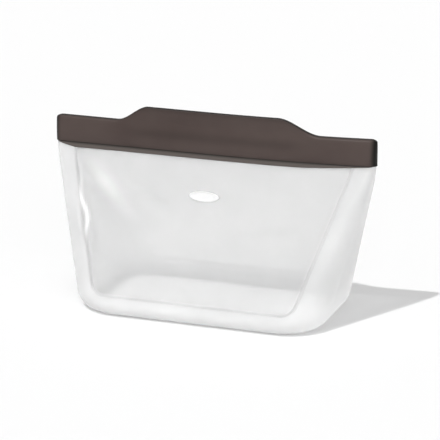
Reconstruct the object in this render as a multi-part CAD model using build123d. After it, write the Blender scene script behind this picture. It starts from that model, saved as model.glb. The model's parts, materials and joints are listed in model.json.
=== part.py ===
from build123d import *
import math
import os

# Reusable stand-up silicone bag with a press-to-close mouth, in millimetres.
#
# Frame: +Z up, X along the mouth, -Y the front. The origin is the middle of the
# base, on the surface that the bag stands on.
#
# The bag is a clear moulded shell: a rounded base pan and two side gussets form a
# thick U-shaped frame at the front and the back, and a thinner panel fills each
# frame. Each panel carries a dark lip along its top edge, with a pull tab. A bead
# in the front lip presses into a channel in the rear lip, and the lips are joined
# at both ends. Each panel swings out with its lip, about its lower edge, to open
# the mouth.

os.makedirs("parts", exist_ok=True)

# ---- driving dimensions -------------------------------------------------------
# Outline of the clear shell at the floor, before rounding, and at the lips.
BASE_WIDTH = 166.0
BASE_DEPTH = 102.0
BASE_CORNER = 30.0
BOTTOM_ROUND = 9.0
NECK_WIDTH = 211.0
NECK_DEPTH = 7.2
NECK_CORNER = 3.4

# Heights: the clear walls up to the lips, the lips, and what stands above them.
CLEAR_HEIGHT = 103.0
LIP_HEIGHT = 17.0
TAB_RISE = 10.0
PAN_ABOVE_SILL = 3.0

# Wall thicknesses, and the cleft where the cavity ends between the two walls.
FRAME_WALL = 2.2
PANEL_WALL = 1.2
PANEL_RECESS = 0.4
CAVITY_CLEFT = 1.2

# Frame around each panel: width of its uprights at the sill and at the lips,
# flat rail below the sill, and the panel's lower corners.
UPRIGHT_LOW = 19.0
UPRIGHT_HIGH = 11.5
SILL_RAIL = 0.25
WINDOW_CORNER = 10.0

# Lips, their skirts and their end joints.
LIP_OVER_NECK = 0.5
LIP_SKIN = 0.5
LIP_SWELL = 0.5
LIP_SWELL_HEIGHT = 4.5
LIP_CREST = 2.7
LIP_EDGE_ROUND = 0.7
LIP_END_COVER = 2.0
LIP_END_ROUND = 2.4
SKIRT_HEIGHT = 4.5
SKIRT_WALL = 0.7

# Pull tabs.
TAB_ROOT_THICK = 2.1
TAB_TIP_THICK = 1.65
TAB_EDGE_ROUND = 0.6
TAB_HALF_FOOT = 67.0
TAB_HALF_TOP = 45.0

# Press-to-close seal. The bead's flanks slope by the panel's lean and some draft,
# so that it swings out of the channel without scraping it.
SEAL_ABOVE_WALL = 6.0
SEAL_END_MARGIN = 1.7
BEAD_ROOT = 4.0
BEAD_REACH = 1.9
BEAD_DRAFT_DEG = 5.4
BEAD_STRIP_DEPTH = 1.1
BEAD_STRIP_HEIGHT = 6.4
CHANNEL_STRIP_DEPTH = 3.1
CHANNEL_STRIP_HEIGHT = 8.0

# Blank oval badge on the front panel.
BADGE_WIDTH = 20.0
BADGE_HEIGHT = 7.2
BADGE_THICK = 0.35
BADGE_BELOW_LIP = 26.6
BADGE_OFFSET = -1.5

# Clearances between pieces that move apart.
MOVING_GAP = 0.3
PARTING_GAP = 0.3
SEAL_GAP = 0.15

# ---- sizes worked out from these ----------------------------------------------
FRONT_SLOPE = (BASE_DEPTH - NECK_DEPTH) / 2 / CLEAR_HEIGHT
SIDE_SLOPE = (NECK_WIDTH - BASE_WIDTH) / 2 / CLEAR_HEIGHT
FRONT_LEAN = math.atan(FRONT_SLOPE)
INNER_FACE = PARTING_GAP / 2
# A wall ends inside the lip, where a skin of the lip's own material is left inside it.
WALL_TOP = (BASE_DEPTH / 2 - PANEL_RECESS - PANEL_WALL - INNER_FACE - LIP_SKIN) / FRONT_SLOPE
CAVITY_TOP = (BASE_DEPTH / 2 - FRAME_WALL - CAVITY_CLEFT / 2) / FRONT_SLOPE
ROUND_TOP = BOTTOM_ROUND * math.cos(FRONT_LEAN) / math.tan(math.pi / 4 - FRONT_LEAN / 2)
SILL = ROUND_TOP + SILL_RAIL
PAN_TOP = SILL + PAN_ABOVE_SILL
WINDOW_HALF_LOW = BASE_WIDTH / 2 + SIDE_SLOPE * SILL - UPRIGHT_LOW
WINDOW_HALF_HIGH = NECK_WIDTH / 2 - UPRIGHT_HIGH
WINDOW_SLOPE = (WINDOW_HALF_HIGH - WINDOW_HALF_LOW) / (CLEAR_HEIGHT - SILL)
LIP_TOP = CLEAR_HEIGHT + LIP_HEIGHT
LIP_FOOT = NECK_DEPTH / 2 + LIP_OVER_NECK
LIP_BULGE = LIP_FOOT + LIP_SWELL
LIP_HALF = WINDOW_HALF_HIGH - MOVING_GAP
MOUTH_WIDTH = NECK_WIDTH + 2 * LIP_END_COVER
TAB_TOP = LIP_TOP + TAB_RISE
SEAL_HEIGHT = WALL_TOP + SEAL_ABOVE_WALL
SEAL_HALF_LENGTH = LIP_HALF - SEAL_END_MARGIN
BEAD_FLANK = math.tan(FRONT_LEAN + math.radians(BEAD_DRAFT_DEG))
FAR = 2 * MOUTH_WIDTH


def plan(height, inset):
    """Rounded plan outline of the shell at a height, drawn in by an inset."""
    wide = BASE_WIDTH + 2 * SIDE_SLOPE * height - 2 * inset
    deep = BASE_DEPTH - 2 * FRONT_SLOPE * height - 2 * inset
    corner = BASE_CORNER + (NECK_CORNER - BASE_CORNER) * height / CLEAR_HEIGHT - inset
    held = min(max(corner, deep / 20), 0.48 * deep)
    return Plane.XY.offset(height) * RectangleRounded(wide, deep, held)


def tapered_body(inset, low, high):
    """Solid that tapers from the base outline to the pinched mouth outline."""
    return loft([plan(low, inset), plan(high, inset)], ruled=True)


def rounded_body(inset, low, high, bottom_round):
    """Tapered solid with its floor edge rounded."""
    body = tapered_body(inset, low, high)
    floor_edges = body.edges().filter_by_position(Axis.Z, low - 0.01, low + 0.01)
    return fillet(floor_edges, bottom_round)


def slab(low, high):
    """Large block between two heights."""
    block = Box(FAR, FAR, high - low, align=(Align.CENTER, Align.CENTER, Align.MIN))
    return Pos(0, 0, low) * block


def window(gap):
    """Window-shaped block through the front and back, smaller all round by a gap."""
    low = SILL + gap
    high = TAB_TOP
    half_low = WINDOW_HALF_LOW + WINDOW_SLOPE * gap - gap
    half_high = half_low + WINDOW_SLOPE * (high - low)
    corners = [(-half_low, low), (half_low, low), (half_high, high), (-half_high, high)]
    outline = make_face(Plane.XZ * Polyline(corners, close=True))
    lower_corners = outline.vertices().group_by(Axis.Z)[0]
    rounded = fillet(lower_corners, WINDOW_CORNER - gap)
    return extrude(rounded, FAR / 2, both=True)


def half_space(side):
    """Large block on the front (-1) or rear (+1) side of the mid-plane."""
    return Pos(0, side * FAR / 2, 0) * Box(FAR, FAR, FAR)


def across(outline, half_length):
    """Outline in (y, z) carried along X to both sides of the middle."""
    face = make_face(Plane.YZ * Polyline(outline, close=True))
    return extrude(face, half_length, both=True)


def make_frame():
    """Clear shell with a window at the front and the back."""
    outer = rounded_body(0, 0, WALL_TOP, BOTTOM_ROUND)
    cavity = rounded_body(FRAME_WALL, FRAME_WALL, CAVITY_TOP, BOTTOM_ROUND - FRAME_WALL)
    return outer - cavity - window(0)


def make_base_pan(frame):
    """Floor, bottom rounding and the lower rail of both frames."""
    return frame & slab(-1, PAN_TOP)


def make_gusset(frame, side):
    """Side wall with the upright of the front and back frames; side is -1 or +1."""
    half = Pos(side * FAR / 2, 0, 0) * Box(FAR, FAR, FAR)
    return frame & slab(PAN_TOP, FAR) & half


def wall_layer(outer_inset, inner_inset, side):
    """One layer of the front or rear wall, within the window."""
    layer = tapered_body(outer_inset, 0, WALL_TOP) - tapered_body(inner_inset, 0, WALL_TOP)
    return layer & window(MOVING_GAP) & half_space(side)


def make_panel(side):
    """Thin wall that fills the frame, with its top edge let into the lip."""
    layer = wall_layer(PANEL_RECESS, PANEL_RECESS + PANEL_WALL, side)
    between_ends = Box(2 * LIP_HALF, FAR, FAR)
    return layer & between_ends


def lip_bar(side, inner, half_length):
    """Lip section from an inner face outwards, carried along X."""
    foot = (side * LIP_FOOT, CLEAR_HEIGHT)
    bulge = (side * LIP_BULGE, CLEAR_HEIGHT + LIP_SWELL_HEIGHT)
    crest = (side * LIP_CREST, LIP_TOP)
    outer = Spline(foot, bulge, crest)
    back = Polyline(crest, (side * inner, LIP_TOP), (side * inner, CLEAR_HEIGHT), foot)
    section = make_face(Plane.YZ * (outer + back))
    outer_corners = section.vertices().sort_by(lambda corner: abs(corner.Y))[-2:]
    return extrude(fillet(outer_corners, LIP_EDGE_ROUND), half_length, both=True)


def make_tab(side):
    """Pull tab that rises from the lip in a long S-curve at each end."""
    bend = (TAB_HALF_FOOT + TAB_HALF_TOP) / 2
    root = LIP_TOP - TAB_ROOT_THICK
    left_rise = Bezier(
        (-TAB_HALF_FOOT, LIP_TOP),
        (-bend, LIP_TOP),
        (-bend, TAB_TOP),
        (-TAB_HALF_TOP, TAB_TOP),
    )
    top = Line((-TAB_HALF_TOP, TAB_TOP), (TAB_HALF_TOP, TAB_TOP))
    right_rise = mirror(left_rise, Plane.YZ)
    lower = Polyline(
        (TAB_HALF_FOOT, LIP_TOP),
        (TAB_HALF_FOOT, root),
        (-TAB_HALF_FOOT, root),
        (-TAB_HALF_FOOT, LIP_TOP),
    )
    outline = make_face(Plane.XZ * (left_rise + top + right_rise + lower))
    near = side * INNER_FACE
    section = make_face(
        Plane.YZ
        * Polyline(
            (near, root),
            (near + side * TAB_ROOT_THICK, root),
            (near + side * TAB_ROOT_THICK, LIP_TOP),
            (near + side * TAB_TIP_THICK, TAB_TOP),
            (near, TAB_TOP),
            close=True,
        )
    )
    tip = section.vertices().filter_by_position(Axis.Z, TAB_TOP - 0.01, TAB_TOP + 0.01)
    outer_tip = tip.sort_by(lambda corner: abs(corner.Y))[-1]
    rounded = extrude(fillet(outer_tip, TAB_EDGE_ROUND), TAB_HALF_FOOT, both=True)
    return rounded & extrude(outline, FAR / 2, both=True)


def make_skirt(side):
    """Thin apron below the lip, on the outer face of the panel."""
    layer = wall_layer(PANEL_RECESS - SKIRT_WALL, PANEL_RECESS, side)
    return layer & slab(CLEAR_HEIGHT - SKIRT_HEIGHT, CLEAR_HEIGHT)


def strip(side, depth, height):
    """Seal strip let into the inner face of a lip."""
    low = SEAL_HEIGHT - height / 2
    high = SEAL_HEIGHT + height / 2
    near = side * INNER_FACE
    far = side * (INNER_FACE + depth)
    return across([(near, low), (far, low), (far, high), (near, high)], SEAL_HALF_LENGTH)


def tongue(gap):
    """Tapered bead that stands on the front inner face, larger by a gap."""
    start = -INNER_FACE
    end = BEAD_REACH - INNER_FACE + gap
    root = BEAD_ROOT / 2 + gap * math.hypot(1, BEAD_FLANK)
    tip = root - BEAD_FLANK * (end - start)
    outline = [
        (start, SEAL_HEIGHT - root),
        (end, SEAL_HEIGHT - tip),
        (end, SEAL_HEIGHT + tip),
        (start, SEAL_HEIGHT + root),
    ]
    return across(outline, SEAL_HALF_LENGTH)


def make_lip(side, panel, seal_strip):
    """Dark lip with its skirt and pull tab, cut for the panel and the seal strip."""
    blank = lip_bar(side, INNER_FACE, LIP_HALF) + make_tab(side) + make_skirt(side)
    return blank - panel - seal_strip


def make_mouth_joint(side, gusset):
    """Solid end of the mouth, where the two lips join around the gusset's top."""
    both_lips = lip_bar(-1, 0, MOUTH_WIDTH / 2) + lip_bar(1, 0, MOUTH_WIDTH / 2)
    outline = RectangleRounded(MOUTH_WIDTH, 2 * LIP_BULGE, LIP_END_ROUND)
    rounded_ends = extrude(Plane.XY.offset(CLEAR_HEIGHT) * outline, LIP_HEIGHT)
    length = MOUTH_WIDTH / 2 - WINDOW_HALF_HIGH
    end = Pos(side * (MOUTH_WIDTH - length) / 2, 0, LIP_TOP) * Box(length, FAR, FAR)
    return (both_lips & rounded_ends & end) - gusset


def make_badge():
    """Blank oval badge on the outer face of the front panel."""
    height = CLEAR_HEIGHT - BADGE_BELOW_LIP
    depth = BASE_DEPTH / 2 - FRONT_SLOPE * height - PANEL_RECESS
    centre = (BADGE_OFFSET, -depth, height)
    facing = (0, -math.cos(FRONT_LEAN), math.sin(FRONT_LEAN))
    face = Plane(origin=centre, x_dir=(1, 0, 0), z_dir=facing)
    return extrude(face * Ellipse(BADGE_WIDTH / 2, BADGE_HEIGHT / 2), BADGE_THICK)


# ---- the pieces ---------------------------------------------------------------
frame = make_frame()
left_gusset = make_gusset(frame, -1)
right_gusset = make_gusset(frame, 1)
front_panel = make_panel(-1)
rear_panel = make_panel(1)
bead_strip = strip(-1, BEAD_STRIP_DEPTH, BEAD_STRIP_HEIGHT)
channel_strip = strip(1, CHANNEL_STRIP_DEPTH, CHANNEL_STRIP_HEIGHT)

pieces = {
    "base_pan": make_base_pan(frame),
    "left_gusset": left_gusset,
    "right_gusset": right_gusset,
    "left_mouth_joint": make_mouth_joint(-1, left_gusset),
    "right_mouth_joint": make_mouth_joint(1, right_gusset),
    "front_panel": front_panel,
    "front_lip": make_lip(-1, front_panel, bead_strip),
    "front_seal_bead": bead_strip + tongue(0),
    "front_badge": make_badge(),
    "rear_panel": rear_panel,
    "rear_lip": make_lip(1, rear_panel, channel_strip),
    "rear_seal_channel": channel_strip - tongue(SEAL_GAP),
}

for name, piece in pieces.items():
    export_step(piece, "parts/" + name + ".step")
    print(name, len(piece.solids()), round(piece.volume, 1), piece.is_valid)
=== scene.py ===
# %% [markdown]
# # A stand-up silicone bag with a press-to-close mouth
#
# This bag is almost all one clear, milky silicone moulding. Thick uprights and a rounded base hold it up,
# and a thinner panel fills the front and the back. A dark, firmer silicone is moulded on along the mouth:
# two lips that press together, each with a pull tab in the middle.
#
# The imported model gives the main sizes here. It is loaded first, and the pieces below are built around it.

# %% Load the imported model
import bpy
import bmesh
import json
import math
import numpy as np
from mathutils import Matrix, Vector


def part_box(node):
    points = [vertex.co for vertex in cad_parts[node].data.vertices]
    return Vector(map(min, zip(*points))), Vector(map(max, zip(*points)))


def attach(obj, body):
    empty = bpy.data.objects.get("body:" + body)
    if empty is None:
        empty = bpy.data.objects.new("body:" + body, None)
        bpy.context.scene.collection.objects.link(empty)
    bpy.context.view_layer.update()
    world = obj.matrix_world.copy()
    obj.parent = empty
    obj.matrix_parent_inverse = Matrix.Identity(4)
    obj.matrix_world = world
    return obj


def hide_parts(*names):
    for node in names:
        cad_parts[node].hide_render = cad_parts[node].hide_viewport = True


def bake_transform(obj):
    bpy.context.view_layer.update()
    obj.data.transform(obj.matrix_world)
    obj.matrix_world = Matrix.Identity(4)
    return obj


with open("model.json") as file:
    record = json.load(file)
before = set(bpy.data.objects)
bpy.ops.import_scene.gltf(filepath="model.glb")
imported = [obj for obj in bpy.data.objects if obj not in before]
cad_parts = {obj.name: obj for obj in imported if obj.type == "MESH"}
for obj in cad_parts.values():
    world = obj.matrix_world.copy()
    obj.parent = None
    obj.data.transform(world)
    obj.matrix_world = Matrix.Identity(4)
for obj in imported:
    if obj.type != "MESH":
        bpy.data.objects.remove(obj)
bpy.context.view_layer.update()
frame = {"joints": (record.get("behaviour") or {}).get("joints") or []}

# %% [markdown]
# ## Sizes of the bag
#
# The mouth, the sill under each panel and the ends of the lips are read from the imported pieces, so that a
# change of size there carries through. A box can't tell how round a corner is or how thick a wall is, so
# those are typed in here, some as in the design and some not. So are the looks, such as how far the
# mouth bows. Blender works in metres, so a millimetre gets a name of its own.

# %% Sizes
MM = 0.001
end_low, end_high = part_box("right_mouth_joint")
_, lip_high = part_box("front_lip")
front_hinge = next(j for j in frame["joints"] if j["name"] == "front_open")["pos_m"]

LIP_FOOT = end_low.z
TAB_TOP = lip_high.z
MOUTH_HALF = end_high.x
WINDOW_HALF_TOP = end_low.x
SILL = front_hinge[2]

NECK_HALF_DEPTH = 3.6 * MM
NECK_INSET = 0.7 * MM
NECK_HALF_WIDTH = MOUTH_HALF - NECK_INSET
NECK_CORNER = 3.4 * MM
BASE_HALF_WIDTH = 83 * MM
BASE_CORNER = 30 * MM
FRONT_SLOPE = (-front_hinge[1] - NECK_HALF_DEPTH) / (LIP_FOOT - SILL)
BASE_HALF_DEPTH = NECK_HALF_DEPTH + FRONT_SLOPE * LIP_FOOT
SIDE_SLOPE = (NECK_HALF_WIDTH - BASE_HALF_WIDTH) / LIP_FOOT
FRONT_ROUND = 8 * MM
SIDE_ROUND = 14 * MM

WALL_INSIDE_LIP = 2.5 * MM
WALL_TOP = LIP_FOOT + WALL_INSIDE_LIP
UPRIGHT_LOW = 19 * MM
WINDOW_HALF_SILL = BASE_HALF_WIDTH + SIDE_SLOPE * SILL - UPRIGHT_LOW
WINDOW_SLOPE = (WINDOW_HALF_TOP - WINDOW_HALF_SILL) / (LIP_FOOT - SILL)
WINDOW_CORNER = 10 * MM

FRAME_WALL = 2.2 * MM
PANEL_WALL = 1.1 * MM
PANEL_RECESS = 0.7 * MM
RECESS_RUN = 1.3 * MM
MOUTH_BOW = 4.0 * MM
print("sill", round(SILL / MM, 1), "lip foot", round(LIP_FOOT / MM, 1), "tab top", round(TAB_TOP / MM, 1))

# %% [markdown]
# ## The plan of the bag at each height
#
# Seen from above, the clear body is a rounded rectangle at every height. It is deep and short at the base,
# and long and almost closed at the mouth. A loft between two outlines would give this shape, but its faces
# couldn't follow the edge of the thin panel. So one small function gives the point on the outline at a
# height and a distance along it, and every wall below is laid out with it.

# %% Plan outline
def smooth(t):
    """Smooth step from 0 to 1."""
    t = np.clip(t, 0, 1)
    return t * t * (3 - 2 * t)


def plan_sizes(z):
    """Half width, half depth and corner radius of the plan at a height."""
    half_width = BASE_HALF_WIDTH + SIDE_SLOPE * z
    half_depth = BASE_HALF_DEPTH - FRONT_SLOPE * z
    corner = BASE_CORNER + (NECK_CORNER - BASE_CORNER) * z / LIP_FOOT
    return half_width, half_depth, np.minimum(corner, 0.97 * half_depth)


def quarter_length(z):
    """Length of the outline from the middle of the front to the middle of the side."""
    half_width, half_depth, corner = plan_sizes(z)
    return half_width + half_depth + (math.pi / 2 - 2) * corner


def plan_point(z, along):
    """Point and outward direction on the front right quarter of the outline."""
    half_width, half_depth, corner = plan_sizes(z)
    flat = half_width - corner
    turn = np.clip((along - flat) / corner, 0, math.pi / 2)
    x = np.minimum(along, flat) + corner * np.sin(turn)
    past = np.maximum(along - flat - corner * math.pi / 2, 0)
    y = -(half_depth - corner) - corner * np.cos(turn) + past
    return x, y, np.sin(turn), -np.cos(turn)


def along_of(z, x):
    """Distance along the outline at which it reaches x, on the front or the corner."""
    half_width, half_depth, corner = plan_sizes(z)
    flat = half_width - corner
    turn = np.arcsin(np.clip((x - flat) / corner, 0, 1))
    return np.where(x <= flat, x, flat + corner * turn)


quarter_at_lips = float(quarter_length(LIP_FOOT)) / MM
print("outline at the lips, front middle to side middle:", round(quarter_at_lips, 1), "mm")

# %% [markdown]
# ## From the outline to the wall
#
# A wall has an outer and an inner face. Both come from the same point on the outline, moved straight into
# the wall by a depth: nothing for the outer face, the wall's thickness for the inner one. Near the floor the
# wall rolls under on a round edge. The soft front also bows forward a little at the mouth.

# %% Wall and base points
def lean_of(nx, ny):
    """Inward slope of the wall that faces a direction, per unit of height."""
    return FRONT_SLOPE * ny * ny - SIDE_SLOPE * nx * nx


def bow(x, z):
    """How far the walls and lips stand forward at a place along the mouth."""
    across = np.clip(1 - (x / MOUTH_HALF) ** 2, 0, 1)
    return MOUTH_BOW * across * np.clip(z / LIP_FOOT, 0, 1.3) ** 1.7


def wall_point(z, along, depth):
    """Point inside the straight part of the wall, at a depth from its outer face."""
    x, y, nx, ny = plan_point(z, along)
    lean = np.arctan(lean_of(nx, ny))
    inset = depth / np.cos(lean)
    return np.stack([x - nx * inset, y - ny * inset, z - 0 * inset], -1)


def round_radius(nx, ny):
    """Radius of the round edge along the base, larger at the sides."""
    return FRONT_ROUND * ny * ny + SIDE_ROUND * nx * nx


def round_start(nx, ny):
    """Height at which the wall starts to roll under."""
    return round_radius(nx, ny) * (1 + np.sin(np.arctan(lean_of(nx, ny))))


def round_point(share, turn, depth):
    """Point on the round edge at a share of the outline; turn is 0 at the wall and 1 at the floor."""
    start = share * quarter_length(0 * share)
    _, _, nx, ny = plan_point(0 * share, start)
    slope = lean_of(nx, ny)
    lean = np.arctan(slope)
    radius = round_radius(nx, ny)
    centre = radius * (1 + np.sin(lean)) / np.cos(lean)
    angle = -lean + turn * (math.pi / 2 + lean)
    height = radius - (radius - depth) * np.sin(angle)
    inward = centre - (radius - depth) * np.cos(angle)
    outer = np.maximum(height, 0)
    x, y, nx, ny = plan_point(outer, share * quarter_length(outer))
    inset = inward - slope * height
    return np.stack([x - nx * inset, y - ny * inset, height], -1)


print("round edge starts at", round(float(round_start(0, 1)) / MM, 1), "mm at the front")

# %% [markdown]
# ## Meshes from grids of points
#
# Every soft piece is a few grids of points, one for each face of it. This helper joins the grids into one
# mesh, welds the points they share and shades it smooth. Each point can also carry a number, such as the
# thickness of the wall there, which the material reads later.

# %% Grids to meshes
def build_mesh(name, grids):
    """One mesh from grids of points; a point is x, y, z and two numbers, its thickness and its painted shade
    and glow.
    """
    points = np.concatenate([grid.reshape(-1, 5) for grid in grids])
    faces, offset = [], 0
    for grid in grids:
        rows, columns = grid.shape[:2]
        index = offset + np.arange(rows * columns).reshape(rows, columns)
        quads = np.stack([index[:-1, :-1], index[:-1, 1:], index[1:, 1:], index[1:, :-1]], -1)
        faces.append(quads.reshape(-1, 4))
        offset += rows * columns
    keys = np.round(points[:, :3] / (0.0005 * MM)).astype(np.int64)
    _, first, place = np.unique(keys, axis=0, return_index=True, return_inverse=True)
    corners = []
    for face in place.ravel()[np.concatenate(faces)].tolist():
        loop = [v for i, v in enumerate(face) if v != face[i - 1]]
        if len(set(loop)) >= 3:
            corners.append(loop)
    mesh = bpy.data.meshes.new(name)
    mesh.from_pydata(settled(points[first, :3]).tolist(), [], corners)
    mesh.validate()
    for column, key in ((3, "thickness"), (4, "shade_and_glow")):
        attribute = mesh.attributes.new(key, "FLOAT", "POINT")
        attribute.data.foreach_set("value", points[first, column].astype(np.float32))
    mesh.polygons.foreach_set("use_smooth", [True] * len(mesh.polygons))
    piece = bpy.data.objects.new(name, mesh)
    bpy.context.scene.collection.objects.link(piece)
    return piece


def turned(grid, side_x, side_y):
    """Grid mirrored to a side, with its columns reversed where needed so that its faces look the same way."""
    mirrored = grid * np.array([side_x, side_y, 1, 1, 1])
    return mirrored[:, ::-1] if side_x * side_y < 0 else mirrored


def spaced(length, first, grow, widest):
    """Distances from 0 to length with steps that start small and grow to a widest."""
    steps, step = [0.0], first
    while steps[-1] + step < length:
        steps.append(steps[-1] + step)
        step = min(step * grow, widest)
    return np.array(steps) * length / steps[-1]


print("steps from an edge, in millimetres:", (spaced(0.02, 0.0004, 1.4, 0.002) / MM).round(1)[:6])

# %% [markdown]
# ## How the silicone settles
#
# A soft wall is never quite flat. It dents and buckles a little, its mouth bows and tilts, and its sides
# spread. Sculpting could give this by hand. Here each dent is a smooth bump with a place, a size, a turn and
# a depth, added to the points of every soft piece, so that the pieces of one wall move together.

# %% Settling
SPREAD_LEFT = 1.0 * MM
SPREAD_RIGHT = 1.9 * MM
LEFT_DROP = 1.5 * MM
RIGHT_LIFT = 1.0 * MM
FRONT_DENTS = [
    (-71, 80, 19, 6, -33, -1.6),
    (-62, 94, 6, 9, 0, 1.5),
    (-34, 75, 18, 6, -28, 1.0),
    (-82, 57, 2.6, 15, 15, -2.0),
    (-75, 54, 4.0, 19, 15, 2.0),
    (-62, 30, 9, 14, 20, 1.2),
    (66, 60, 9, 30, -24, -1.3),
    (52, 66, 7, 26, -24, 1.0),
    (25, 40, 34, 12, 4, -0.9),
]
REAR_DENTS = [(-52, 62, 12, 26, 20, -0.9), (48, 70, 14, 22, -25, 0.8), (2, 38, 40, 12, 3, -0.7)]


def dent_depth(x, z, dents):
    """How far soft dents press the wall inwards; each has a place, a size, a turn in degrees and a depth."""
    depth = 0 * x
    for middle_x, middle_z, wide, tall, turn, deep in dents:
        turn = math.radians(turn)
        right, up = x / MM - middle_x, z / MM - middle_z
        across = (right * math.cos(turn) + up * math.sin(turn)) / wide
        along = (up * math.cos(turn) - right * math.sin(turn)) / tall
        depth += deep * MM * np.exp(-across ** 2 - along ** 2)
    return depth * smooth((z - SILL) / (12 * MM)) * smooth((LIP_FOOT - z) / (9 * MM))


def settled(points):
    """Points after the silicone has settled: sides spread, mouth tilted and bowed, walls dented."""
    x, y, z = points.T
    height = smooth(z / LIP_FOOT)
    side = x / MOUTH_HALF
    full = height * (1 - 0.6 * smooth((z - 0.88 * LIP_FOOT) / (0.15 * LIP_FOOT)))
    spread = np.where(x > 0, SPREAD_RIGHT, SPREAD_LEFT) * np.abs(side) ** 3 * full
    lift = np.where(x > 0, RIGHT_LIFT, -LEFT_DROP) * side ** 2 * height
    dent = np.where(y < 0, dent_depth(x, z, FRONT_DENTS), -dent_depth(x, z, REAR_DENTS))
    dent = dent * smooth(np.abs(y) / (4 * MM))
    return np.stack([x + np.sign(x) * spread, y - bow(x, z) + dent, z + lift], -1)


print("soft dents:", len(FRONT_DENTS), "in the front wall and", len(REAR_DENTS), "in the rear wall")

# %% [markdown]
# ## Welding helpers
#
# The walls, lips and seal strips are each built as a left and a right half, which are joined into one piece
# and welded where they meet.


def joined(name, halves):
    """Left and right half as one piece, welded where they meet."""
    with bpy.context.temp_override(active_object=halves[0], selected_editable_objects=halves):
        bpy.ops.object.join()
    piece = halves[0]
    piece.name = piece.data.name = name
    welder = bmesh.new()
    welder.from_mesh(piece.data)
    bmesh.ops.remove_doubles(welder, verts=welder.verts, dist=0.0008 * MM)
    welder.to_mesh(piece.data)
    welder.free()
    return piece


def bending_piece(name, side_y, quarter):
    """A soft piece of a leaf; quarter gives the grids of its right or left front part, by side."""
    halves = []
    for side_x in (-1, 1):
        half = build_mesh(name + "_half", [turned(grid, side_x, side_y) for grid in quarter(side_x)])
        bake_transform(half)
        halves.append(half)
    return joined(name, halves)


# %% [markdown]
# ## The thin panels
#
# The front and back of a bag like this are thinner than its frame, so that they flex. The panel sits a
# little lower than the frame around it, with a soft step at its edge. Rows follow the height and columns run
# from the middle to the panel's edge, closest together at the step, so that the step is smooth.

# %% Panel edge and panel
def panel_edge():
    """Edge of the right half of a panel, from the sill up: its x and its z."""
    tilt = math.atan(WINDOW_SLOPE)
    middle = WINDOW_HALF_SILL - WINDOW_CORNER * (1 - math.sin(tilt)) / math.cos(tilt)
    turn = np.linspace(-math.pi / 2, -tilt, 15)
    corner_x = middle + WINDOW_CORNER * np.cos(turn)
    corner_z = SILL + WINDOW_CORNER * (1 + np.sin(turn))
    side_z = np.linspace(corner_z[-1], WALL_TOP, 54)[1:]
    side_x = WINDOW_HALF_SILL + WINDOW_SLOPE * (side_z - SILL)
    return np.concatenate([corner_x, side_x]), np.concatenate([corner_z, side_z])


def inside_edge(x, z):
    """Distance of a place on the panel from the panel's edge."""
    tilt = math.atan(WINDOW_SLOPE)
    to_side = (WINDOW_HALF_SILL + WINDOW_SLOPE * (z - SILL) - x) * math.cos(tilt)
    middle = WINDOW_HALF_SILL - WINDOW_CORNER * (1 - math.sin(tilt)) / math.cos(tilt)
    right, down = x - middle, SILL + WINDOW_CORNER - z
    in_corner = (right > 0) & (down > right * math.tan(tilt))
    round_corner = WINDOW_CORNER - np.hypot(right, down)
    return np.maximum(np.where(in_corner, round_corner, np.minimum(to_side, z - SILL)), 0)


def with_numbers(points, thickness, shade_and_glow=0.0):
    """Grid of points with a thickness and a number for painted light: above 0 it is painted shade, below 0 a
    painted glow.
    """
    numbers = [np.broadcast_to(number, points.shape[:2])[..., None] for number in (thickness, shade_and_glow)]
    return np.concatenate([points] + numbers, -1)


UPRIGHT_THICKNESS = 0.5
BASE_THICKNESS = 0.66
REAR_SHADE = 0.32
EDGE_X, EDGE_Z = panel_edge()
PANEL_SHARES = 1 - spaced(WINDOW_HALF_TOP, 0.35 * MM, 1.3, 1.7 * MM)[::-1] / WINDOW_HALF_TOP

# Painted marks on the front panel, as place x and z, half length, half height, tilt and strength. A mark
# above zero is painted shade beside a dent, one below zero is a painted highlight where a buckle catches the
# light.
FRONT_SHADE_AND_HIGHLIGHTS = [
    (-68, 80, 17, 4.5, -39, -0.4),
    (-56, 94, 5, 8, 0, 0.16),
    (-33, 72, 12, 4, -28, 0.12),
    (45, 60, 22, 3.0, 8, 0.06),
]


def front_shade_and_highlights(x, z, near):
    """Painted shade beside the front panel's dents and painted highlights where buckles catch the light, with
    the painted highlight down its left edge.
    """
    painted_marks = dent_depth(x, z, FRONT_SHADE_AND_HIGHLIGHTS) / MM
    # Painted highlight down the left edge on a wavy line, with painted shade just inside it.
    wave = 1.5 * MM + 0.9 * MM * np.sin(z / (4.2 * MM))
    left = x < 0
    painted_streak = 1.6 * np.exp(-((near - wave) / (1.2 * MM)) ** 2 - ((z - 62 * MM) / (15 * MM)) ** 2)
    beside = np.exp(-((near - 4.5 * MM) / (2.2 * MM)) ** 2 - ((z - 58 * MM) / (18 * MM)) ** 2)
    return painted_marks + left * (0.15 * beside - painted_streak)


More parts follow.
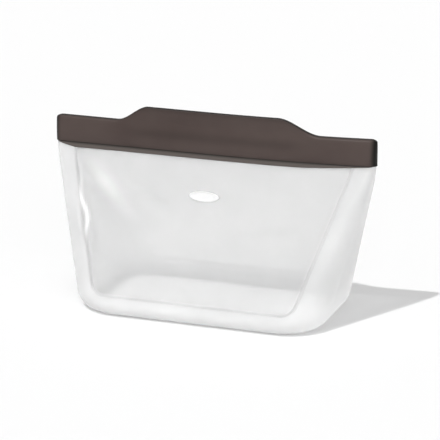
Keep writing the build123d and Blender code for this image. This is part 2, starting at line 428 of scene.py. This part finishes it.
def panel_quarter(side_x, shade=0.0):
    """Both faces of the right half of a front panel; a shade darkens the inner face at the sill."""
    z = np.repeat(EDGE_Z[:, None], len(PANEL_SHARES), 1)
    x = EDGE_X[:, None] * PANEL_SHARES[None, :]
    near = inside_edge(x, z)
    along = along_of(z, x)
    outer_depth = PANEL_RECESS * smooth(near / RECESS_RUN)
    inner_depth = FRAME_WALL + (PANEL_RECESS + PANEL_WALL - FRAME_WALL) * smooth(near / (2 * MM))
    thick = UPRIGHT_THICKNESS * (1 - smooth(near / (2.2 * MM)))
    # Painted shade and highlights on the outer face; a highlight also raises the thickness number, so it is
    # drawn whiter and denser.
    painted_marks = front_shade_and_highlights(x * side_x, z, near) if shade == 0 else 0.0
    outer = with_numbers(wall_point(z, along, outer_depth), np.maximum(thick, np.clip(-painted_marks, 0, 1)), painted_marks)
    shade_and_glow = shade * np.exp(-((z - SILL) / (10 * MM)) ** 2) * smooth(0.5 + near / (12 * MM))
    inner = with_numbers(wall_point(z, along, inner_depth), thick, shade_and_glow)
    side_rim = np.stack([outer[:, -1], inner[:, -1]], 1)
    sill_rim = np.stack([inner[0], outer[0]])
    return [outer, inner[:, ::-1], side_rim, sill_rim]


front_wall = bending_piece("front_wall", 1, panel_quarter)
rear_wall = bending_piece("rear_wall", -1, lambda side_x: panel_quarter(side_x, REAR_SHADE))
print("panel mesh:", len(front_wall.data.vertices), "points; rows", len(EDGE_Z), "columns", len(PANEL_SHARES))

# %% [markdown]
# ## The frame, the gussets and the base
#
# The thick part of the moulding is one piece: uprights beside each panel, rounded gussets at the sides, and a
# base pan that rolls from the walls into a flat floor. Its grids start on the same points as the panel's
# edge, so no gap can show between the two.

# %% Frame and base
FRAME_COLUMNS = 34


def painted_glow_of(z, share, side_x):
    """Strength of a painted glow in the outer face of the thick base, standing in for the light it gathers,
    most of all in its right corners.
    """
    return smooth((40 * MM - z) / (30 * MM)) * (0.02 + 0.6 * smooth(share * 1.6 - 0.5) * (side_x > 0))


def side_quarter(depth, side_x=1, side_y=1):
    """One face of the upright and the gusset, from the panel's edge to the middle of the side."""
    z = np.repeat(EDGE_Z[:, None], FRAME_COLUMNS, 1)
    first = along_of(z, EDGE_X[:, None])
    step = np.linspace(0, 1, FRAME_COLUMNS)[None, :]
    along = first + step * (quarter_length(z) - first)
    low = smooth((28 * MM - z) / (15 * MM))
    thick = UPRIGHT_THICKNESS + (BASE_THICKNESS - UPRIGHT_THICKNESS) * low
    # Inner face: painted shade darkens the rear left corner where the walls meet. Outer face: the painted
    # glow of the thick base.
    if depth:
        corner = np.exp(-((step - 0.22) / 0.07) ** 2) * smooth((78 * MM - z) / (25 * MM))
        shade_and_glow = 0.3 * corner * (side_x < 0) * (side_y < 0)
    else:
        shade_and_glow = -painted_glow_of(z, along / quarter_length(z), side_x)
    return with_numbers(wall_point(z, along, depth + 0 * z), thick, shade_and_glow)


def base_quarter(depth, side_x=1, side_y=1):
    """One face of the base: the floor, the round edge and the strip up to the sill."""
    sill = quarter_length(SILL)
    corner_start = along_of(SILL, EDGE_X[0])
    under_panel = EDGE_X[0] * PANEL_SHARES
    beside = np.linspace(0, 1, FRAME_COLUMNS)[1:]
    along = np.concatenate([under_panel, corner_start + beside * (sill - corner_start)])
    share = along / sill
    rounds = [round_point(share, 1 - t + 0 * share, depth) for t in np.linspace(0, 1, 15)]
    ring, top = rounds[0], rounds[-1]
    spine = ring.copy()
    spine[:, 0] = np.minimum(ring[:, 0], BASE_HALF_WIDTH - BASE_HALF_DEPTH)
    spine[:, 1] = 0
    floor = [spine + (ring - spine) * t for t in np.linspace(0, 1, 26)[:-1]]
    sill_row = wall_point(SILL + 0 * along, along, depth)
    strip = [top + (sill_row - top) * t for t in (0.5, 1.0)]
    rows = np.stack(floor + rounds + strip)
    row = np.arange(len(rows))[:, None]
    past = row - len(floor) - 2.0
    # On the inner floor the thickness number rises to full, so the floor is drawn whiter and denser, as
    # painted light.
    on_floor = smooth((len(floor) + 1 - row) / 5) * (depth > 0)
    thick = BASE_THICKNESS + (1 - BASE_THICKNESS) * on_floor
    # Inner face: painted shade along the edge where the floor meets the wall, strongest under the rear wall,
    # and a painted glow on the floor. Outer face: the painted glow of the thick base.
    if depth:
        shade_under_wall = 0.8 if side_y < 0 else 0.0
        strength = shade_under_wall + (0.5 - shade_under_wall) * smooth(share[None, :] * 1.6 - 0.5)
        shade_and_glow = strength * np.exp(-(past / np.where(past > 0, 9.0, 2.0)) ** 2) - on_floor
    else:
        shade_and_glow = -painted_glow_of(rows[:, :, 2], share[None, :], side_x)
    return with_numbers(rows, thick, shade_and_glow)


rim_sides = [side_quarter(depth) for depth in (0, FRAME_WALL)]
rim_bases = [base_quarter(depth) for depth in (0, FRAME_WALL)]
top_rim = np.stack([side[-1] for side in rim_sides])
edge_rim = np.stack([side[:, 0] for side in rim_sides[::-1]], 1)
sill_rim = np.stack([base[-1, :len(PANEL_SHARES)] for base in rim_bases])
body_grids = []
for side_x in (-1, 1):
    for side_y in (-1, 1):
        outer = [side_quarter(0, side_x), base_quarter(0, side_x)]
        inner = [face(FRAME_WALL, side_x, side_y)[:, ::-1] for face in (side_quarter, base_quarter)]
        for grid in outer + [top_rim, edge_rim, sill_rim] + inner:
            body_grids.append(turned(grid, side_x, side_y))
clear_body = build_mesh("clear_body", body_grids)
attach(clear_body, "bag")
print("frame and base mesh:", len(clear_body.data.vertices), "points")

# %% [markdown]
# ## The dark lips
#
# Each lip is a firm strip, fullest just above the clear wall and rounded over at the top. In the middle it
# rises into a pull tab. One section is drawn for the plain lip and one for the tab, with the same number of
# points, and the lip is swept along the mouth while the section turns from one into the other.

# %% Lip sections
PARTING = 0.1 * MM
TAB_LEFT_FOOT = 64.5 * MM
TAB_LEFT_TOP = 42.5 * MM
TAB_RIGHT_FOOT = 72 * MM
TAB_RIGHT_TOP = 44 * MM
END_ROUND = 4.6 * MM
TOP_CORNER = 2.2 * MM
SKIRT_HEIGHT = 3.0 * MM
SKIRT_END = 106.5 * MM
SKIRT_TAPER_LEFT = 14 * MM
SKIRT_TAPER_RIGHT = 46 * MM
END_SHADE = 1.0


def curve_through(points, between):
    """Smooth line through given points, with some points between each pair."""
    points = np.array(points, float)
    before = np.vstack([2 * points[0] - points[1], points[:-1]])
    after = np.vstack([points[1:], 2 * points[-1] - points[-2]])
    slope = (after - before) / 2
    line = []
    for i in range(len(points) - 1):
        for t in np.linspace(0, 1, between + 1)[:-1]:
            line.append((1 + 2 * t) * (1 - t) ** 2 * points[i] + t * (1 - t) ** 2 * slope[i]
                        + t * t * (3 - 2 * t) * points[i + 1] - t * t * (1 - t) * slope[i + 1])
    return np.array(line + [points[-1]])


def outside_of(tab):
    """Outer side of a lip, from its foot to the parting line: distance from the parting plane, height."""
    body = [(3.7, 0), (4.15, 0.9), (4.55, 3.2), (4.55, 6.5), (4.1, 10.5)]
    if tab:
        head = [(3.3, 14), (2.65, 17.5), (2.35, 20.5), (2.2, 24), (1.95, 26), (1.2, 27), (0.1, 27)]
    else:
        head = [(3.75, 13), (3.4, 14.7), (2.95, 15.9), (2.3, 16.6), (1.6, 16.9), (0.8, 17), (0.1, 17)]
    return curve_through(body + head, 4) * MM + np.array([0, LIP_FOOT])


PLAIN_LIP = outside_of(False)
TAB_LIP = outside_of(True)
lip_height, tab_height = [round((section[-1, 1] - LIP_FOOT) / MM, 1) for section in (PLAIN_LIP, TAB_LIP)]
print("lip height", lip_height, "tab height", tab_height)

# %% [markdown]
# ## Sweeping the lips
#
# The inner face of each lip carries one half of the press-to-close seal, so it has a shallow pocket that a
# separate strip is set into. The pocket stops short of the ends of the mouth. At the ends the section
# shrinks round a corner, which closes the lip with a rounded end.

# %% Lips
SEAL_ABOVE_FOOT = 8.93 * MM
STRIP_MIDDLE = SEAL_ABOVE_FOOT + LIP_FOOT
STRIP_END = 92 * MM

# The skirt's section, as shares of its height below the lip's foot and millimetres out from the wall.
SKIRT_SECTION = (
    (-0.12, 0.50), (0.1, 0.55), (0.4, 0.52), (0.7, 0.44), (0.93, 0.34), (1.0, 0.16), (1.0, -0.05),
)


def lip_shade(outside, whole):
    """Painted shade on a section: how near each point is to the crease at the foot and to the parting line at
    the top.
    """
    place = np.arange(whole)
    foot = np.exp(-(place / 2.0) ** 2)
    crest = np.exp(-((place - outside + 1) / 7.0) ** 2) * (place < outside)
    return np.maximum(foot, 0.9 * crest)


def lip_places():
    """Places along the right half of the lip, and the turn round its end at each."""
    straight = np.linspace(0, MOUTH_HALF - END_ROUND, 72)
    turn = np.concatenate([0 * straight, np.linspace(0, math.pi / 2, 10)[1:]])
    x = np.concatenate([straight, MOUTH_HALF - END_ROUND + END_ROUND * np.sin(turn[72:])])
    return x, turn


def skirt_quarter(side_x):
    """Thin skirt under the lip, on the outside of the clear wall, running out towards the mouth's ends."""
    x, _ = lip_places()
    x = x[x < SKIRT_END]
    taper = SKIRT_TAPER_RIGHT if side_x > 0 else SKIRT_TAPER_LEFT
    deep = SKIRT_HEIGHT * np.clip((SKIRT_END - x) / taper, 0, 1) ** 0.8
    rows = []
    for down, proud in SKIRT_SECTION:
        z = LIP_FOOT - down * deep
        rows.append(wall_point(z, along_of(z, x), -proud * MM * smooth(deep / (1.0 * MM)) + 0 * x))
    # Painted shade darkens the top of the skirt, in the crease under the lip.
    crease_shade = np.array([0, 0, 0, 0, 0, 0.5, 1.0])[:, None]
    return with_numbers(np.stack(rows[::-1]), 0.0, crease_shade)


def lip_quarter(side_x, pocket_depth, pocket_height):
    """One half of the front lip, as one closed grid, and the skirt under it."""
    x, turn = lip_places()
    foot, top_end = (TAB_RIGHT_FOOT, TAB_RIGHT_TOP) if side_x > 0 else (TAB_LEFT_FOOT, TAB_LEFT_TOP)
    tab = smooth((foot - x) / (foot - top_end))
    pocket = smooth((STRIP_END + 1 * MM - x) / (1 * MM)) * pocket_depth
    columns = []
    for place, angle, rise, hollow in zip(x, turn, tab, pocket):
        outside = PLAIN_LIP + (TAB_LIP - PLAIN_LIP) * rise
        top, low, high = outside[-1, 1], STRIP_MIDDLE - pocket_height / 2, STRIP_MIDDLE + pocket_height / 2
        inside = np.array([[0, top], [0, high], [hollow, high], [hollow, low], [0, low], [0, LIP_FOOT]])
        inside[:, 0] += PARTING
        section = np.vstack([outside, inside[1:], outside[:1]])
        drop = np.clip((section[:, 1] - top + 2 * TOP_CORNER) / (2 * TOP_CORNER), 0, 1)
        column = np.zeros((len(section), 5))
        column[:, 0] = place
        column[:, 1] = -section[:, 0] * math.cos(angle)
        column[:, 2] = section[:, 1] - TOP_CORNER * (1 - math.cos(angle)) * drop
        column[:, 3] = 1.0
        # Painted shade: a band across the middle of the tab, the crease, the crest and the rounded ends are
        # drawn darker.
        tab_shade_band = 0.22 * rise * np.exp(-((section[:, 1] - LIP_FOOT - 10.5 * MM) / (3.4 * MM)) ** 2)
        shade = np.maximum(lip_shade(len(outside), len(section)), END_SHADE * smooth(angle / 0.9))
        column[:, 4] = np.maximum(shade, tab_shade_band)
        columns.append(column)
    return [np.stack(columns, 1), skirt_quarter(side_x)]


BEAD_POCKET = (1.1 * MM, 6.4 * MM)
CHANNEL_POCKET = (3.1 * MM, 8 * MM)
front_lip = bending_piece("front_mouth_lip", 1,
                          lambda side_x: lip_quarter(side_x, *BEAD_POCKET))
rear_lip = bending_piece("rear_mouth_lip", -1,
                         lambda side_x: lip_quarter(side_x, *CHANNEL_POCKET))
print("lip mesh:", len(front_lip.data.vertices), "points")

# %% [markdown]
# ## The press-to-close seal
#
# A bead on the front lip presses into a channel on the rear lip. Both are extruded strips with one section
# all along, set into the pockets. Each section is drawn once, as distances into its own lip and heights from
# the middle of the seal, and swept along the mouth like the lip itself, so it bends with it.

# %% Seal strips
BEAD_SECTION = [
    (1.05, -3.15), (0.1, -3.15), (0.1, -2.1), (-0.4, -1.95), (-1.5, -1.75), (-1.85, -1.35), (-1.9, 0),
    (-1.85, 1.35), (-1.5, 1.75), (-0.4, 1.95), (0.1, 2.1), (0.1, 3.15), (1.05, 3.15), (1.05, -3.15),
]
CHANNEL_SECTION = [
    (3.05, -3.95), (0.1, -3.95), (0.1, -2.5), (0.25, -2.25), (1.9, -2.0), (2.15, -1.7), (2.15, 1.7),
    (1.9, 2.0), (0.25, 2.25), (0.1, 2.5), (0.1, 3.95), (3.05, 3.95), (3.05, -3.95),
]

# The bead stops short of the channel's closed end, and both stop short of the pocket's end.
CHANNEL_END = STRIP_END - 2.0 * MM
BEAD_END = CHANNEL_END - 3.0 * MM


def strip_quarter(section, end):
    """Right half of a seal strip with that section, closed at its end."""
    x = np.linspace(0, end, 62)
    into, up = np.array(section).T[:, :, None] * MM
    body = np.stack([0 * into + x, -into + 0 * x, STRIP_MIDDLE + up + 0 * x], -1)
    last = body[:, -1:]
    cap = last.mean(0, keepdims=True) + 0 * last
    return [with_numbers(np.concatenate([body, cap], 1), 1.0)]


seal_bead = bending_piece("seal_bead_strip", 1,
                          lambda side_x: strip_quarter(BEAD_SECTION, BEAD_END))
seal_channel = bending_piece("seal_channel_strip", -1,
                             lambda side_x: strip_quarter(CHANNEL_SECTION, CHANNEL_END))
print("bead", round(2 * BEAD_END / MM), "mm long in a channel", round(2 * CHANNEL_END / MM), "mm long")

# %% [markdown]
# ## The badge
#
# A small white oval is printed and slightly raised on the front panel. It stays blank here, with a fine
# raised border. Rings of points from its middle outwards follow the wall's own slope, so it lies on the
# panel. A flat disc would be simpler, but it couldn't follow the bow and the dents of the soft wall.

# %% Badge
badge_low, badge_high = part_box("front_badge")
badge_middle = (badge_low + badge_high) / 2
badge_half = (badge_high - badge_low) / 2
BADGE_RISE = 1.4 * MM
BADGE_SHIFT = 1.0 * MM
BADGE_FLATNESS = 0.89

# The oval's rings, as shares of its size and millimetres raised above the panel.
BADGE_PROFILE = (
    (0, 0.28), (0.5, 0.28), (0.84, 0.28), (0.87, 0.36), (0.92, 0.38), (0.96, 0.3), (0.99, 0.15), (1.0, -0.1),
)


def badge_rings():
    """Top and edge of the oval, as rings from the middle to the foot of the edge."""
    turn = np.linspace(0, 2 * math.pi, 73)
    rings = []
    for size, raised in BADGE_PROFILE:
        x = badge_middle.x + BADGE_SHIFT + size * badge_half.x * np.cos(turn)
        z = badge_middle.z + BADGE_RISE + size * BADGE_FLATNESS * badge_half.z * np.sin(turn)
        rings.append(wall_point(z, x, PANEL_RECESS - raised * MM + 0 * x))
    return with_numbers(np.stack(rings), 1.0)


badge = build_mesh("badge_oval", [badge_rings()[:, ::-1]])
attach(badge, "front_leaf")
badge_tall = 2 * BADGE_FLATNESS * badge_half.z / MM
print("badge, millimetres:", round(2 * badge_half.x / MM, 1), "wide and", round(badge_tall, 1), "tall")

# %% [markdown]
# ## Shared effects for the silicone
#
# Moulded silicone is never one flat colour. Light and dark cloudy patches come from uneven thickness, and the
# surface has a fine satin tooth. Both effects are needed by every finish here, so they are built once as a
# node group. It puts out a slow cloud, a fine tooth height and a roughness that varies a little.

# %% Node group for moulded silicone
MOULDED_INPUTS = {"Cloud Scale": 22.0, "Tooth Scale": 2600.0, "Roughness": 0.4, "Roughness Spread": 0.06}


def add_node(tree, kind, **inputs):
    """A node of that kind with some of its inputs set; an input may be a value or another node's output."""
    node = tree.nodes.new(kind)
    for key, value in inputs.items():
        socket = node.inputs[int(key[1:]) if key[0] == "i" and key[1:].isdigit() else key.replace("_", " ")]
        if isinstance(value, bpy.types.NodeSocket):
            tree.links.new(value, socket)
        else:
            socket.default_value = value
    return node


def moulded_group():
    """Group with a cloud, a fine height and a roughness for any moulded silicone."""
    group = bpy.data.node_groups.new("moulded_silicone", "ShaderNodeTree")
    for name, value in MOULDED_INPUTS.items():
        socket = group.interface.new_socket(name, in_out="INPUT", socket_type="NodeSocketFloat")
        socket.default_value = value
    for name in ("Cloud", "Tooth", "Roughness"):
        group.interface.new_socket(name, in_out="OUTPUT", socket_type="NodeSocketFloat")
    into = group.nodes.new("NodeGroupInput")
    out = group.nodes.new("NodeGroupOutput")
    place = group.nodes.new("ShaderNodeTexCoord").outputs["Object"]
    cloud = add_node(group, "ShaderNodeTexNoise", Vector=place, Scale=into.outputs["Cloud Scale"],
                     Detail=3.0, Roughness=0.45)
    tooth = add_node(group, "ShaderNodeTexNoise", Vector=place, Scale=into.outputs["Tooth Scale"],
                     Detail=2.0)
    patchy = add_node(group, "ShaderNodeMath", i0=cloud.outputs["Fac"], i1=0.5)
    patchy.operation = "SUBTRACT"
    rough = add_node(group, "ShaderNodeMath", i0=patchy.outputs[0], i1=into.outputs["Roughness Spread"],
                     i2=into.outputs["Roughness"])
    rough.operation = "MULTIPLY_ADD"
    group.links.new(cloud.outputs["Fac"], out.inputs["Cloud"])
    group.links.new(tooth.outputs["Fac"], out.inputs["Tooth"])
    group.links.new(rough.outputs[0], out.inputs["Roughness"])
    return group


MOULDED = moulded_group()
print("shared group:", MOULDED.name, "with", len(MOULDED.nodes), "nodes")

# %% [markdown]
# ## Milky silicone
#
# Platinum silicone is clear but milky. Light enters it, scatters and comes out elsewhere, so a shadowed wall
# still glows, and what stands behind a thin wall shows softly. Subsurface scattering gives the softness, and
# alpha lets the far side show through. Colour and alpha follow the thickness that the mesh carries: the thin
# panels are greyer and more open, the uprights whiter, and the base whitest. Where thick silicone gathers
# light, a weak emission stands in for it as a painted glow. A second number on the mesh paints light and
# shade: above zero it darkens the colour as painted shade in corners, creases and beside dents, and below
# zero it drives the painted glow, also along painted highlights where buckles catch the light.

# %% Milky silicone
THIN_COLOUR = (0.735, 0.735, 0.735)
THICK_COLOUR = (0.95, 0.95, 0.955)
CLOUD_COLOUR = (0.60, 0.605, 0.61)
# Colour of the painted shade, then colour of the painted glow.
PAINTED_SHADE_COLOUR = (0.20, 0.205, 0.205)
PAINTED_GLOW_COLOUR = (0.30, 0.30, 0.296)
THIN_ALPHA = 0.34
THICK_ALPHA = 0.72
SCATTER_DEPTH = 7 * MM
SILICONE_IOR = 1.41


def new_material(name):
    """Material with its Principled shader, and a moulded group placed in it."""
    material = bpy.data.materials.new(name)
    material.use_nodes = True
    tree = material.node_tree
    moulded = tree.nodes.new("ShaderNodeGroup")
    moulded.node_tree = MOULDED
    return tree, moulded, tree.nodes["Principled BSDF"], material


def mixed(tree, share, low, high):
    """Colour between low and high by a share."""
    mix = tree.nodes.new("ShaderNodeMix")
    mix.data_type = "RGBA"
    tree.links.new(share, mix.inputs[0])
    for socket, value in ((mix.inputs[6], low), (mix.inputs[7], high)):
        if isinstance(value, bpy.types.NodeSocket):
            tree.links.new(value, socket)
        else:
            socket.default_value = (*value, 1)
    return mix.outputs[2]


def spread(tree, value, from_low, from_high, to_low, to_high):
    """Value moved from one range to another."""
    node = add_node(tree, "ShaderNodeMapRange", Value=value, From_Min=from_low, From_Max=from_high,
                    To_Min=to_low, To_Max=to_high)
    return node.outputs["Result"]


def attribute(tree, name):
    """Number that the mesh carries at each point."""
    node = tree.nodes.new("ShaderNodeAttribute")
    node.attribute_name = name
    return node.outputs["Fac"]


def toothed(tree, moulded, shader, depth):
    """Fine bump from the group's tooth."""
    bump = add_node(tree, "ShaderNodeBump", Strength=1.0, Distance=depth, Height=moulded.outputs["Tooth"])
    tree.links.new(bump.outputs["Normal"], shader.inputs["Normal"])
    tree.links.new(moulded.outputs["Roughness"], shader.inputs["Roughness"])


def milky_silicone():
    """Clear milky silicone, whiter and denser where it is thick, with painted shade and a painted glow."""
    tree, moulded, shader, material = new_material("milky_silicone")
    moulded.inputs["Roughness"].default_value = 0.40
    thick = attribute(tree, "thickness")
    body = mixed(tree, thick, THIN_COLOUR, THICK_COLOUR)
    cloudy = mixed(tree, spread(tree, moulded.outputs["Cloud"], 0.35, 0.65, 0.0, 0.35), body, CLOUD_COLOUR)
    # Painted light: above zero the second number darkens the colour as painted shade, below zero it drives a
    # painted glow.
    with_painted_shade = mixed(tree, spread(tree, attribute(tree, "shade_and_glow"), 0, 1, 0, 0.75), cloudy, PAINTED_SHADE_COLOUR)
    painted_glow = mixed(tree, spread(tree, attribute(tree, "shade_and_glow"), 0, -1, 0, 1), (0, 0, 0), PAINTED_GLOW_COLOUR)
    tree.links.new(with_painted_shade, shader.inputs["Base Color"])
    tree.links.new(painted_glow, shader.inputs["Emission Color"])
    shader.inputs["Emission Strength"].default_value = 1.0
    tree.links.new(spread(tree, thick, 0, 1, THIN_ALPHA, THICK_ALPHA), shader.inputs["Alpha"])
    shader.inputs["Subsurface Weight"].default_value = 1.0
    shader.inputs["Subsurface Radius"].default_value = (1, 1, 1)
    shader.inputs["Subsurface Scale"].default_value = SCATTER_DEPTH
    shader.inputs["IOR"].default_value = SILICONE_IOR
    toothed(tree, moulded, shader, 0.02 * MM)
    return material


milky = milky_silicone()
for piece in (front_wall, rear_wall, clear_body):
    piece.data.materials.append(milky)
print("milky silicone: alpha", THIN_ALPHA, "in the panels and", THICK_ALPHA, "in the base")

# %% [markdown]
# ## Charcoal silicone and the white badge
#
# The lips are a warm charcoal with a soft satin sheen. The thin skirt under them lets some light through, so
# it is a little lighter and greyer. The seal strips are the same compound, pressed smoother. The badge is
# plain white ink. Plain colours would do from far off, but the shared group gives them a fine tooth up close.

# %% Charcoal silicone and white ink
LIP_DARK = (0.060, 0.043, 0.039)
LIP_LIGHT = (0.080, 0.060, 0.054)
# Colour of the painted shade on the lips.
LIP_PAINTED_SHADE = (0.008, 0.007, 0.006)
SKIRT_COLOUR = (0.100, 0.086, 0.079)
INK_DARK = (0.74, 0.74, 0.74)
INK_LIGHT = (0.82, 0.82, 0.82)


def charcoal_silicone(name, roughness):
    """Warm charcoal silicone; a thin skirt of it is lighter."""
    tree, moulded, shader, material = new_material(name)
    moulded.inputs["Roughness"].default_value = roughness
    body = mixed(tree, spread(tree, moulded.outputs["Cloud"], 0.3, 0.7, 0, 1), LIP_DARK, LIP_LIGHT)
    colour = mixed(tree, attribute(tree, "thickness"), SKIRT_COLOUR, body)
    # Painted shade darkens the lips at the crease, the crest, the rounded ends and across the tab.
    shaded = mixed(tree, attribute(tree, "shade_and_glow"), colour, LIP_PAINTED_SHADE)
    tree.links.new(shaded, shader.inputs["Base Color"])
    shader.inputs["IOR"].default_value = SILICONE_IOR
    toothed(tree, moulded, shader, 0.015 * MM)
    shader.inputs["Specular IOR Level"].default_value = 0.2
    return material


def white_ink():
    """Slightly glossy white ink."""
    tree, moulded, shader, material = new_material("white_ink")
    moulded.inputs["Roughness"].default_value = 0.45
    moulded.inputs["Cloud Scale"].default_value = 300
    colour = mixed(tree, moulded.outputs["Cloud"], INK_DARK, INK_LIGHT)
    tree.links.new(colour, shader.inputs["Base Color"])
    toothed(tree, moulded, shader, 0.01 * MM)
    return material


for name, roughness, pieces in (("charcoal_silicone", 0.45, (front_lip, rear_lip)),
                                ("charcoal_seal", 0.34, (seal_bead, seal_channel))):
    material = charcoal_silicone(name, roughness)
    for piece in pieces:
        piece.data.materials.append(material)
badge.data.materials.append(white_ink())
finishes = [piece.data.materials[0].name for piece in (clear_body, front_lip, seal_bead, badge)]
print("finishes:", finishes)

# %% [markdown]
# ## What each piece stands for
#
# Each soft piece takes the place of the plain solids of the imported model, which then stay hidden but still
# carry the motion. Beside each piece stands the material slot of the record that its finish belongs to.

# %% Stand-ins and slots
for piece, slot, nodes in (
    (clear_body, "clear_frame", ("base_pan", "left_gusset", "right_gusset")),
    (front_wall, "clear_panel", ("front_panel",)),
    (rear_wall, "clear_panel", ("rear_panel",)),
    (front_lip, "dark_lip", ("front_lip", "left_mouth_joint", "right_mouth_joint")),
    (rear_lip, "dark_lip", ("rear_lip", "left_mouth_joint", "right_mouth_joint")),
    (seal_bead, "dark_lip", ("front_seal_bead",)),
    (seal_channel, "dark_lip", ("rear_seal_channel",)),
    (badge, "badge_white", ("front_badge",)),
):
    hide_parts(*nodes)
    print(piece.name, "stands for", ", ".join(nodes))

# %% [markdown]
# ## The paper under the bag
#
# The bag stands on plain white paper. One large square is enough, since the camera doesn't see its edges. It
# has no sheen, so that only the shadow shows on it, and it lies a hair below the bag so that the two never
# touch.

# %% Paper floor
WHITE = (1, 1, 1, 1)
PAPER_COLOUR = (0.88, 0.88, 0.88, 1)
HALF_FLOOR = 6
FLOOR_DROP = 0.1 * MM
corners = ((-1, -1), (1, -1), (1, 1), (-1, 1))
floor_points = [(x * HALF_FLOOR, y * HALF_FLOOR, -FLOOR_DROP) for x, y in corners]
floor_mesh = bpy.data.meshes.new("studio_floor")
floor_mesh.from_pydata(floor_points, [], [(0, 1, 2, 3)])
studio_floor = bpy.data.objects.new("studio_floor", floor_mesh)
bpy.context.scene.collection.objects.link(studio_floor)
paper = bpy.data.materials.new("white_paper")
paper.use_nodes = True
shader = paper.node_tree.nodes["Principled BSDF"]
shader.inputs["Base Color"].default_value = PAPER_COLOUR
shader.inputs["Roughness"].default_value = 0.9
shader.inputs["Specular IOR Level"].default_value = 0
floor_mesh.materials.append(paper)
print("paper floor:", 2 * HALF_FLOOR, "m square")

# %% [markdown]
# ## Light
#
# One small hard lamp high at the front left gives the crisp shadow to the right. Light also passes through
# real silicone and comes out softened on the far side, which surface shading alone can't do. Two wide lamps
# without shadows stand in for that light, and a pale sky fills the rest. The backdrop is white to the camera
# only, so it adds no light of its own.

# %% Sky and lamps
SKY_STRENGTH = 0.44

world = bpy.data.worlds.new("studio")
bpy.context.scene.world = world
world.use_nodes = True
nodes = world.node_tree.nodes
links = world.node_tree.links
nodes["Background"].inputs["Color"].default_value = WHITE
nodes["Background"].inputs["Strength"].default_value = SKY_STRENGTH
backdrop = nodes.new("ShaderNodeBackground")
backdrop.inputs["Color"].default_value = WHITE
chooser = nodes.new("ShaderNodeMixShader")
links.new(nodes.new("ShaderNodeLightPath").outputs["Is Camera Ray"], chooser.inputs[0])
links.new(nodes["Background"].outputs[0], chooser.inputs[1])
links.new(backdrop.outputs[0], chooser.inputs[2])
links.new(chooser.outputs[0], nodes["World Output"].inputs["Surface"])

# Each lamp: the direction its light travels, its strength, its width in degrees, and whether it shadows.
LAMPS = {
    "key": ((24.5, 70, -120), 1.62, 1.2, True),
    "front_fill": ((-0.45, 0.9, -0.2), 0.62, 40, False),
    "top_fill": ((-0.05, 0.15, -1.0), 0.66, 40, False),
}
for name, (travel, strength, width, shadow) in LAMPS.items():
    lamp_data = bpy.data.lights.new(name, "SUN")
    lamp_data.energy = strength
    lamp_data.angle = math.radians(width)
    lamp_data.use_shadow = shadow
    lamp = bpy.data.objects.new(name, lamp_data)
    bpy.context.scene.collection.objects.link(lamp)
    lamp.rotation_mode = "QUATERNION"
    lamp.rotation_quaternion = Vector(travel).to_track_quat("-Z", "Y")
print("lamps:", ", ".join(LAMPS))

# %% [markdown]
# ## Camera
#
# A long lens from well back keeps the sides of the bag nearly parallel, as in a product view. The camera
# looks at a point near the middle of the bag from its front right, a little above it. Two angles and a
# distance in millimetres set its place, which is easier to adjust than three coordinates.

# %% Camera
CAMERA_AZIMUTH = math.radians(19.6)
CAMERA_ELEVATION = math.radians(17.38)
CAMERA_DISTANCE = 1658.3
CAMERA_LENS = 211.5
CAMERA_SENSOR = 36
VIEW_END = 50
target = Vector((4.24, 0, 57.81)) * MM
back = Vector((math.sin(CAMERA_AZIMUTH) * math.cos(CAMERA_ELEVATION),
               -math.cos(CAMERA_AZIMUTH) * math.cos(CAMERA_ELEVATION), math.sin(CAMERA_ELEVATION)))
camera_data = bpy.data.cameras.new("camera")
camera_data.lens = CAMERA_LENS
camera_data.sensor_width = CAMERA_SENSOR
camera_data.clip_end = VIEW_END
camera = bpy.data.objects.new("camera", camera_data)
bpy.context.scene.collection.objects.link(camera)
camera.location = target + back * CAMERA_DISTANCE * MM
camera.rotation_mode = "QUATERNION"
camera.rotation_quaternion = (-back).to_track_quat("-Z", "Y")
bpy.context.scene.camera = camera
bpy.context.scene.view_settings.view_transform = "Standard"
print("camera:", round(CAMERA_DISTANCE), "mm from the bag with a", CAMERA_LENS, "mm lens")
